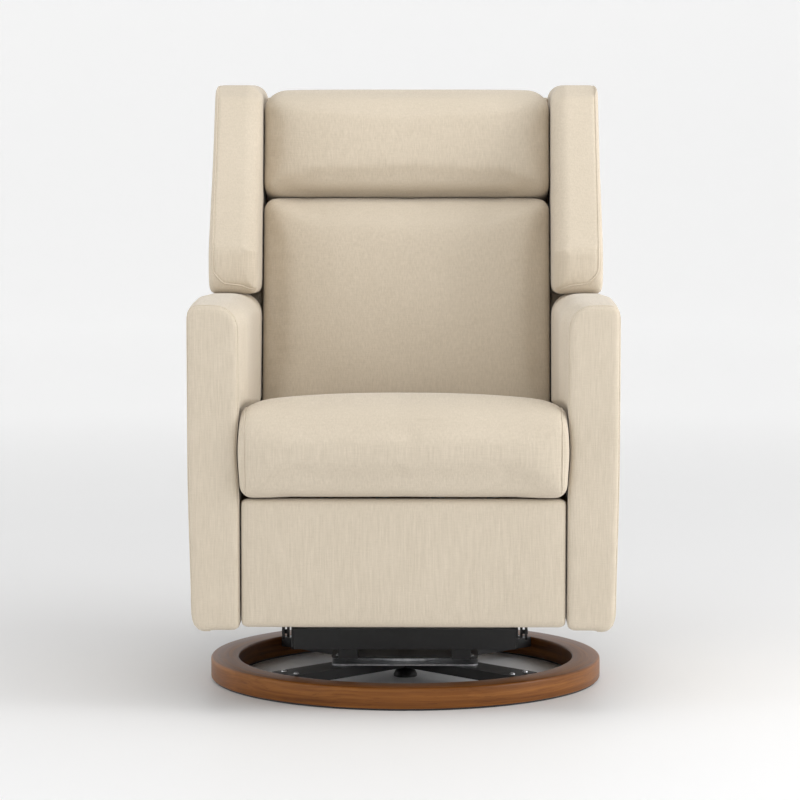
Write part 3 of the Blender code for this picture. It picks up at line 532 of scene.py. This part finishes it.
def make_seat_cushion(fabric):
    """A crowned cushion whose top panel falls to its side seams, and whose sides swell between the arms."""
    low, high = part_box("seat_cushion")
    thing = copy_nodes("seat_cushion_cover", "seat_cushion")
    remesh(thing, 0.006)
    smooth(thing, 3)
    before = points_of(thing)
    inflate(thing, 0.008)
    points = points_of(thing)
    width = high.x
    points[:, 0] = np.sign(before[:, 0]) * np.maximum(np.abs(points[:, 0]), np.abs(before[:, 0]))
    points[:, 0] = np.clip(points[:, 0], -width, width)
    share = np.clip(np.abs(points[:, 0]) / width, 0, 1)
    upper = ramp_up(points[:, 2], low.z + 0.07, high.z - 0.03)
    swelled = 0.0
    back_off = ramp_up(points[:, 1], low.y - 0.02, low.y + 0.08)
    points[:, 2] += (0.006 + swelled - 0.016 * share ** 2.4) * upper * back_off
    points[:, 2] -= 0.008 * share ** 2.4 * upper * (1 - back_off)
    points[:, 2] = np.maximum(points[:, 2], low.z + 0.0005)
    points[:, 1] = np.maximum(points[:, 1], low.y - 0.006)
    points[:, 1] = np.minimum(points[:, 1], high.y)
    lower = 1 - ramp_up(points[:, 2], low.z, low.z + 0.05)
    points[:, 1] += 0.002 * (lower * (1 - ramp_up(points[:, 1], low.y, low.y + 0.03)))
    ahead = 1 - ramp_up(points[:, 1], low.y + 0.05, low.y + 0.24)
    swell = bell(points[:, 2] - (low.z + 0.078), 0.045) * ahead
    points[:, 0] += 0.0036 * np.sign(points[:, 0]) * swell * share ** 8
    set_points(thing, points)
    subdivide(thing)
    seams = []
    for side in SIDES.values():
        x = side * (high.x - 0.007)
        path = [(x, low.y + 0.012, low.z + 0.006), (x, low.y + 0.004, low.z + 0.03),
                (x, low.y + 0.004, high.z - 0.055), (x, low.y + 0.018, high.z - 0.022),
                (x, low.y + 0.055, high.z - 0.010), (x, low.y + 0.12, high.z - 0.014),
                (x, high.y - 0.03, high.z - 0.055)]
        seams.append(snapped(thing, dense(path)))
    groove(thing, seams, 0.0014, 0.0035)
    finish_soft(thing, "seat_body", fabric, ["seat_cushion"])
    for name, line in zip(SIDES, seams):
        welt(f"{name}_seat_welt", thing, line, "seat_body", fabric)


def back_frame_point(y, z):
    """How far up the back and how far in front of it a point is."""
    y, z = y - HINGE_Y, z - HINGE_Z
    up = y * math.sin(BACK_LEAN) + z * math.cos(BACK_LEAN)
    front = -y * math.cos(BACK_LEAN) + z * math.sin(BACK_LEAN)
    return up, front


def from_back_frame(up, front):
    y = HINGE_Y + up * math.sin(BACK_LEAN) - front * math.cos(BACK_LEAN)
    z = HINGE_Z + up * math.cos(BACK_LEAN) + front * math.sin(BACK_LEAN)
    return y, z


def make_back_pillow(name, node, fabric, swell, corner):
    """A cushion on the back: crowned in front, its sides tight to the wings, its top corners drawn in."""
    low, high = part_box(node)
    thing = copy_nodes(name, node)
    remesh(thing, 0.006)
    smooth(thing, 4)
    before = points_of(thing)
    inflate(thing, swell)
    lumbar = node == "back_cushion"
    points = points_of(thing)
    points[:, 0] = np.sign(before[:, 0]) * np.maximum(np.abs(points[:, 0]), np.abs(before[:, 0]))
    up, front = back_frame_point(points[:, 1], points[:, 2])
    up_before, front_before = back_frame_point(before[:, 1], before[:, 2])
    bottom, top = up_before.min(), up_before.max()
    up = np.clip(up, bottom + 0.0005, top + (0.0005 if lumbar else -0.004))
    if lumbar:
        up += SEAM_RAISE * ramp_up(up, top - 0.10, top)
        top += SEAM_RAISE
    else:
        up += SEAM_RAISE * (1 - ramp_up(up, bottom, bottom + 0.08))
        bottom += SEAM_RAISE
        front += 0.012 * (up - bottom) / (top - bottom) * ramp_up(front, 0.10, 0.17) - 0.003
    middle, half = (bottom + top) / 2, (top - bottom) / 2
    side = np.clip(np.abs(points[:, 0]) / high.x, 0, 1)
    rise = np.clip(np.abs(up - middle) / half, 0, 1)
    crown = (1 - side ** 4) * (1 - rise ** 4)
    face = ramp_up(front, 0.10, 0.17)
    puffed = 0.004
    front += puffed * crown * face - 0.006 * (side ** 6 + rise ** 6) * face
    edge = np.clip((np.abs(points[:, 0]) - (high.x - corner)) / corner, 0, 1)
    cut = corner * (1 - np.sqrt(np.maximum(0, 1 - edge ** 2)))
    up -= cut * 0.8 * ramp_up(up, top - corner * 2.0, top)
    front = np.maximum(front, front_before.min())
    points[:, 1], points[:, 2] = from_back_frame(up, front)
    points[:, 0] = np.clip(points[:, 0], low.x - 0.0012, high.x + 0.0012)
    set_points(thing, points)
    subdivide(thing)
    points = points_of(thing)
    up, front = back_frame_point(points[:, 1], points[:, 2])
    face = ramp_up(front, 0.12, 0.17)
    for sign in (-1, 1):
        reach = np.hypot((points[:, 0] - sign * (high.x - 0.042)) / 1.4, up - (top if lumbar else bottom))
        front -= 0.004 * bell(reach, 0.016) * face
    ripple = bell(up - (top if lumbar else bottom), 0.030) + bell(np.abs(points[:, 0]) - high.x, 0.030)
    front += 0.0004 * wavy(points[:, 0] + up, 1.0) * ripple * face
    points[:, 1], points[:, 2] = from_back_frame(up, front)
    set_points(thing, points)
    finish_soft(thing, "back", fabric, [node])


def seat_top(y):
    """Height of the seat cushion's top at its sides."""
    low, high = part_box("seat_cushion")
    return high.z - SEAT_DROP * np.clip((y - low.y) / (high.y - low.y), 0, 1)


def arm_across(points, name, side):
    """0 at the arm's inner face and 1 at its outer face."""
    low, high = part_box(f"{name}_arm")
    inner = low.x if side > 0 else high.x
    return (points[:, 0] - inner) * side / (high.x - low.x)


def make_arm(name, side, fabric):
    """A flat front panel; behind it the padding rolls inwards over the seat and the top falls to the rear."""
    node = f"{name}_arm"
    low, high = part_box(node)
    pad_low, pad_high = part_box(f"{name}_arm_pad")
    thing = copy_nodes(f"{name}_arm_cover", node)
    remesh(thing, 0.0045)
    smooth(thing, 3)
    subdivide(thing)
    points = points_of(thing)
    across = np.clip(arm_across(points, name, side), 0, 1)
    along = points[:, 1] - low.y
    above_seat = points[:, 2] - seat_top(points[:, 1])
    bulge = pad_high.x - pad_low.x + ARM_ROLL
    rolled = ramp_up(above_seat, -0.013, 0.008) * ramp_up(along, 0.004, 0.085)
    cushion_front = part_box("back_cushion")[0].y
    rear_ease = 1 - 0.25 * ramp_up(points[:, 1], cushion_front - 0.06, cushion_front - 0.02)
    points[:, 0] -= side * bulge * rolled * rear_ease * (1 - across) ** 1.2
    squeezed = bell(points[:, 2] - (low.z + high.z) / 2 - 0.028, 0.045) * ramp_up(-along, -0.25, -0.02)
    points[:, 0] += side * 0.0045 * squeezed * (1 - across) ** 2
    narrow = 0.0055 * (1 - ramp_up(points[:, 2], low.z, low.z + 0.30))
    points[:, 0] -= side * narrow * across
    top = ramp_up(points[:, 2], high.z - 0.16, high.z - 0.02)
    fall = 0.045 * np.maximum(0, along - 0.215) - 0.0035 * ramp_up(along, 0.01, 0.09)
    points[:, 2] -= top * np.minimum(fall, 0.030)
    outer_droop = 0.004 * (1 - ramp_up(points[:, 2], low.z, low.z + 0.04)) * ramp_up(across, 0.45, 0.85)
    points[:, 2] -= outer_droop * (1 - ramp_up(along, 0.05, 0.12))
    set_points(thing, points)
    front = low.y + 0.0085
    z_low, z_high = low.z, high.z
    outer_x = high.x if side > 0 else low.x
    inner_x = low.x if side > 0 else high.x
    panel = [(inner_x, front, z_low + 0.012), (inner_x, front, z_high - 0.045),
             (inner_x + side * 0.012, front, z_high - 0.014), (inner_x + side * 0.040, front, z_high),
             (outer_x - side * 0.012, front, z_high), (outer_x, front, z_high - 0.012),
             (outer_x - side * 0.005, front, z_low + 0.030), (outer_x - side * 0.014, front, z_low + 0.008),
             (outer_x - side * 0.040, front, z_low)]
    seam = snapped(thing, dense(panel))
    groove(thing, [seam])
    finish_soft(thing, "seat_body", fabric, [node, f"{name}_arm_pad"])
    welt(f"{name}_arm_welt", thing, seam, "seat_body", fabric)


def make_rear_apron(fabric):
    """The padded strip below the back: a plain pad with soft edges."""
    thing = copy_nodes("rear_apron_cover", "rear_apron")
    remesh(thing, 0.006)
    smooth(thing, 6)
    subdivide(thing)
    finish_soft(thing, "seat_body", fabric, ["rear_apron"])


def wing_front_distance(y, z, corners):
    """How far behind the wing's two front edges a point lies."""
    nearest = np.full(len(y), 9.0)
    for (ay, az), (by, bz) in zip(corners, corners[1:]):
        length = math.hypot(by - ay, bz - az)
        nearest = np.minimum(nearest, ((bz - az) * (y - ay) - (by - ay) * (z - az)) / length)
    return nearest


def make_wing(name, side, fabric):
    """The side panel: a bordered front face, an inner face that rolls round into it, and a soft foot."""
    node = f"{name}_wing"
    low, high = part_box(node)
    thing = copy_nodes(f"{name}_wing_cover", node)
    remesh(thing, 0.0045)
    smooth(thing, 4)
    subdivide(thing)
    points = points_of(thing)
    front_foot = (low.y + 0.0005, WING_FOOT_Z)
    front_bend = (low.y + 0.0005, WING_FOOT_Z + 0.070)
    front_top = (SWIVEL_Y + 0.212, high.z)
    corners = [front_foot, front_bend, front_top]
    behind = wing_front_distance(points[:, 1], points[:, 2], corners)
    width = high.x - low.x
    inner = np.clip((points[:, 0] - (low.x if side > 0 else high.x)) * side, 0, width)
    under_top = high.z - points[:, 2]
    moves = round_off(np.stack([inner, behind, under_top], 1), WING_EDGE)
    slope_y, slope_z = front_top[0] - front_bend[0], front_top[1] - front_bend[1]
    length = math.hypot(slope_y, slope_z)
    points[:, 0] += side * moves[:, 0]
    points[:, 1] += moves[:, 1] * slope_z / length
    points[:, 2] -= moves[:, 1] * slope_y / length + moves[:, 2]
    down = 1 - ramp_up(points[:, 2], WING_FOOT_Z, WING_FOOT_Z + 0.05)
    lower = (points[:, 1] < SWIVEL_Y + 0.243) * down * (points[:, 2] > WING_FOOT_Z - 0.01)
    points[:, 2] -= (0.010 + 0.045 * np.maximum(0, points[:, 1] - low.y)) * lower
    outward = ramp_up(high.z - points[:, 2], 0.10, 0.34) * (points[:, 2] > WING_FOOT_Z - 0.01)
    points[:, 0] += side * 0.0025 * outward * (inner / width) ** 2
    set_points(thing, points)
    outer_x = (high.x if side > 0 else low.x) - side * 0.006
    near = 0.0015
    path = [(outer_x, high.y - 0.06, high.z), (outer_x, front_top[0] + 0.02, high.z),
            (outer_x, front_top[0], high.z - 0.006), (outer_x, front_bend[0] + near, front_bend[1]),
            (outer_x, front_foot[0] + near, WING_FOOT_Z + 0.030),
            (outer_x - side * 0.020, front_foot[0], WING_FOOT_Z + 0.006),
            (outer_x - side * 0.050, front_foot[0] + 0.004, WING_FOOT_Z + 0.004),
            (outer_x - side * 0.074, front_foot[0] + 0.016, WING_FOOT_Z - 0.002)]
    seam = snapped(thing, dense(path))
    groove(thing, [seam])
    finish_soft(thing, "back", fabric, [node])
    welt(f"{name}_wing_welt", thing, seam, "back", fabric)


def make_outside_back(fabric):
    """The panel behind the back, its top dipped beside the wings, with a welt round its edge."""
    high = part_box("outside_back")[1]
    thing = copy_nodes("outside_back_cover", "outside_back")
    remesh(thing, 0.005)
    smooth(thing, 4)
    subdivide(thing)
    points = points_of(thing)
    across = np.abs(points[:, 0])
    dip = 0.013 * ramp_up(across, 0.235, 0.272)
    points[:, 2] -= dip * ramp_up(points[:, 2], high.z - 0.12, high.z)
    up, front = back_frame_point(points[:, 1], points[:, 2])
    middle = (1 - (across / high.x) ** 4) * (1 - np.clip(np.abs(up - 0.37) / 0.36, 0, 1) ** 4)
    front -= 0.004 * middle * (front < -0.012)
    points[:, 1], points[:, 2] = from_back_frame(up, front)
    set_points(thing, points)
    rear = -0.0225
    edge = high.x - 0.004
    corners = [(-1, 0.045), (-1, 0.680), (-0.975, 0.697), (-0.8, 0.698), (-0.68, 0.711),
               (0.68, 0.711), (0.8, 0.698), (0.975, 0.697), (1, 0.680), (1, 0.045)]
    path = [(side * edge, *from_back_frame(up, rear)) for side, up in corners]
    seam = snapped(thing, dense(path))
    groove(thing, [seam])
    finish_soft(thing, "back", fabric, ["outside_back"])
    welt("outside_back_welt", thing, seam, "back", fabric)


def make_top_rail_wrap(fabric):
    """The fabric folded over the top of the back's frame, behind the head cushion."""
    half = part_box("head_cushion")[1].x + 0.001
    profile = [(0.640, 0.0002), (0.640, 0.0416), (0.6885, 0.0416), (0.6920, 0.0390), (0.6935, 0.0350),
               (0.6935, 0.0060), (0.6925, 0.0025), (0.6900, 0.0002)]
    mesh = bmesh.new()
    columns = [half * (2 * k / 60 - 1) for k in range(61)]
    loops = [[mesh.verts.new((x, *from_back_frame(up, front))) for up, front in profile] for x in columns]
    for a, b in zip(loops, loops[1:]):
        for i in range(len(profile)):
            j = (i + 1) % len(profile)
            mesh.faces.new((a[i], a[j], b[j], b[i]))
    mesh.faces.new(loops[0])
    mesh.faces.new(loops[-1])
    bmesh.ops.recalc_face_normals(mesh, faces=mesh.faces)
    thing = link_bmesh("top_rail_wrap", mesh)
    thing.data.set_sharp_from_angle(angle=math.radians(60))
    thing.data.materials.append(fabric)
    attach(thing, "back")


def make_footrest_cover(fabric):
    """A flat padded panel with tight square edges."""
    low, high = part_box("footrest_pad")
    thing = copy_nodes("footrest_cover", "footrest_pad")
    remesh(thing, 0.004)
    smooth(thing, 1)
    subdivide(thing)
    points = points_of(thing)
    share_x = np.abs(points[:, 0]) / high.x
    share_z = np.abs(points[:, 2] - (low.z + high.z) / 2) / ((high.z - low.z) / 2)
    crown = (1 - np.clip(share_x, 0, 1) ** 6) * (1 - np.clip(share_z, 0, 1) ** 6)
    ahead = ramp_up(-points[:, 1], -(low.y + 0.012), -low.y)
    points[:, 1] -= 0.004 * crown * ahead
    points[:, 2] -= 0.003 * (1 - ramp_up(points[:, 2], low.z, low.z + 0.04))
    points[:, 0] *= 1.0022
    set_points(thing, points)
    finish_soft(thing, "footrest", fabric, ["footrest_pad"])


# ---------------------------------------------------------------- wood and metal

def make_ring(material):
    """The bent-wood ring, with its edges eased top and bottom."""
    low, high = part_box("wood_ring")
    outer = (high.x - low.x) / 2
    inner = outer - RING_WIDTH
    bottom, top = low.z, high.z
    profile = []
    for radius, height, ease, start in ((outer, top, 0.0045, 90), (outer, bottom, 0.002, 0),
                                        (inner, bottom, 0.002, -90), (inner, top, 0.003, -180)):
        out = 1 if radius == outer else -1
        up = 1 if height == top else -1
        for step in range(5):
            angle = math.radians(start - 90 * step / 4)
            profile.append((radius - out * ease + ease * math.cos(angle),
                            height - up * ease + ease * math.sin(angle)))
    mesh = bmesh.new()
    turns = 256
    loops = []
    for k in range(turns):
        a = 2 * math.pi * k / turns
        loops.append([mesh.verts.new((r * math.cos(a), SWIVEL_Y + r * math.sin(a), z)) for r, z in profile])
    for k in range(turns):
        a, b = loops[k], loops[(k + 1) % turns]
        for i in range(len(profile)):
            j = (i + 1) % len(profile)
            mesh.faces.new((a[i], a[j], b[j], b[i]))
    bmesh.ops.recalc_face_normals(mesh, faces=mesh.faces)
    ring = link_bmesh("bent_wood_ring", mesh)
    ring.data.set_sharp_from_angle(angle=math.radians(50))
    ring.data.materials.append(material)
    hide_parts("wood_ring")
    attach(ring, "base")


def screw(name, radius, place, body, material):
    """A pan head with a round socket, turned from (radius, height) points that start at its middle."""
    profile = [(0, radius * 0.15), (radius * 0.38, radius * 0.15), (radius * 0.42, radius * 0.52),
               (radius * 0.70, radius * 0.48), (radius * 0.93, radius * 0.28), (radius, 0.0)]
    turns = 24
    mesh = bmesh.new()
    loops = []
    for out, height in profile:
        if out == 0:
            loops.append([mesh.verts.new((0, 0, height))])
        else:
            loops.append([mesh.verts.new((out * math.cos(2 * math.pi * k / turns),
                                          out * math.sin(2 * math.pi * k / turns), height))
                          for k in range(turns)])
    for a, b in zip(loops, loops[1:]):
        for k in range(turns):
            k2 = (k + 1) % turns
            mesh.faces.new((a[0], b[k], b[k2]) if len(a) == 1 else (a[k], b[k], b[k2], a[k2]))
    bmesh.ops.recalc_face_normals(mesh, faces=mesh.faces)
    thing = link_bmesh(name, mesh)
    thing.data.set_sharp_from_angle(angle=math.radians(40))
    thing.rotation_euler = Vector((0, 0, 1)).to_track_quat("Z", "Y").to_euler()
    thing.location = place
    thing.data.materials.append(material)
    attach(thing, body)


def make_fasteners(zinc):
    """Screws through the bearing's upper plate and the four ends of the cross."""
    plate_low, plate_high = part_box("bearing_upper_plate")
    half = (plate_high.x - plate_low.x) / 2 - 0.014
    for x_name, x in (("left", -half), ("right", half)):
        for y_name, y in (("front", -half), ("rear", half)):
            screw(f"bearing_screw_{y_name}_{x_name}", 0.0065,
                  (x, SWIVEL_Y + y, plate_high.z + SCREW_LIFT), "swivel_frame", zinc)
    cross_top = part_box("cross_frame")[1].z
    ring_inner = (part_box("wood_ring")[1].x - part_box("wood_ring")[0].x) / 2 - RING_WIDTH
    out = ring_inner - 0.018
    for number in range(4):
        angle = math.radians(45 + 90 * number)
        for letter, offset in (("a", -0.016), ("b", 0.016)):
            x = out * math.cos(angle) - offset * math.sin(angle)
            y = out * math.sin(angle) + offset * math.cos(angle)
            screw(f"cross_screw_{number + 1}_{letter}", 0.005,
                  (x, SWIVEL_Y + y, cross_top + SCREW_LIFT), "base", zinc)


def smooth_metal():
    """Round CAD pieces are shaded round, with their hard edges kept."""
    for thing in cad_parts.values():
        for polygon in thing.data.polygons:
            polygon.use_smooth = True
        thing.data.set_sharp_from_angle(angle=math.radians(32))


# ---------------------------------------------------------------- assembly

def dress_cad(slots):
    """Every CAD node takes the detailed material of its slot."""
    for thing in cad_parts.values():
        names = [m.name if m else "" for m in thing.data.materials]
        slot = next((s for s in slots if any(n.startswith(s) for n in names)), None)
        thing.data.materials.clear()
        thing.data.materials.append(slots[slot])


def main():
    make_camera()
    make_floor()
    make_lights()
    fabric = make_fabric("linen_oat", (0.645, 0.565, 0.455), (0.50, 0.432, 0.335))
    slots = {"fabric": fabric, "stained_wood": make_stained_wood(), "frame_timber": make_timber(),
             "black_steel": make_black_steel(), "zinc_steel": make_zinc(), "black_plastic": make_black_plastic()}
    dress_cad(slots)
    make_seat_cushion(fabric)
    make_back_pillow("back_cushion_cover", "back_cushion", fabric, 0.010, 0.018)
    make_back_pillow("head_cushion_cover", "head_cushion", fabric, 0.007, 0.034)
    for name, side in SIDES.items():
        make_arm(name, side, fabric)
        make_wing(name, side, fabric)
    make_footrest_cover(fabric)
    make_outside_back(fabric)
    make_top_rail_wrap(fabric)
    make_ring(slots["stained_wood"])
    make_fasteners(slots["zinc_steel"])
    smooth_metal()
    make_rear_apron(fabric)


main()
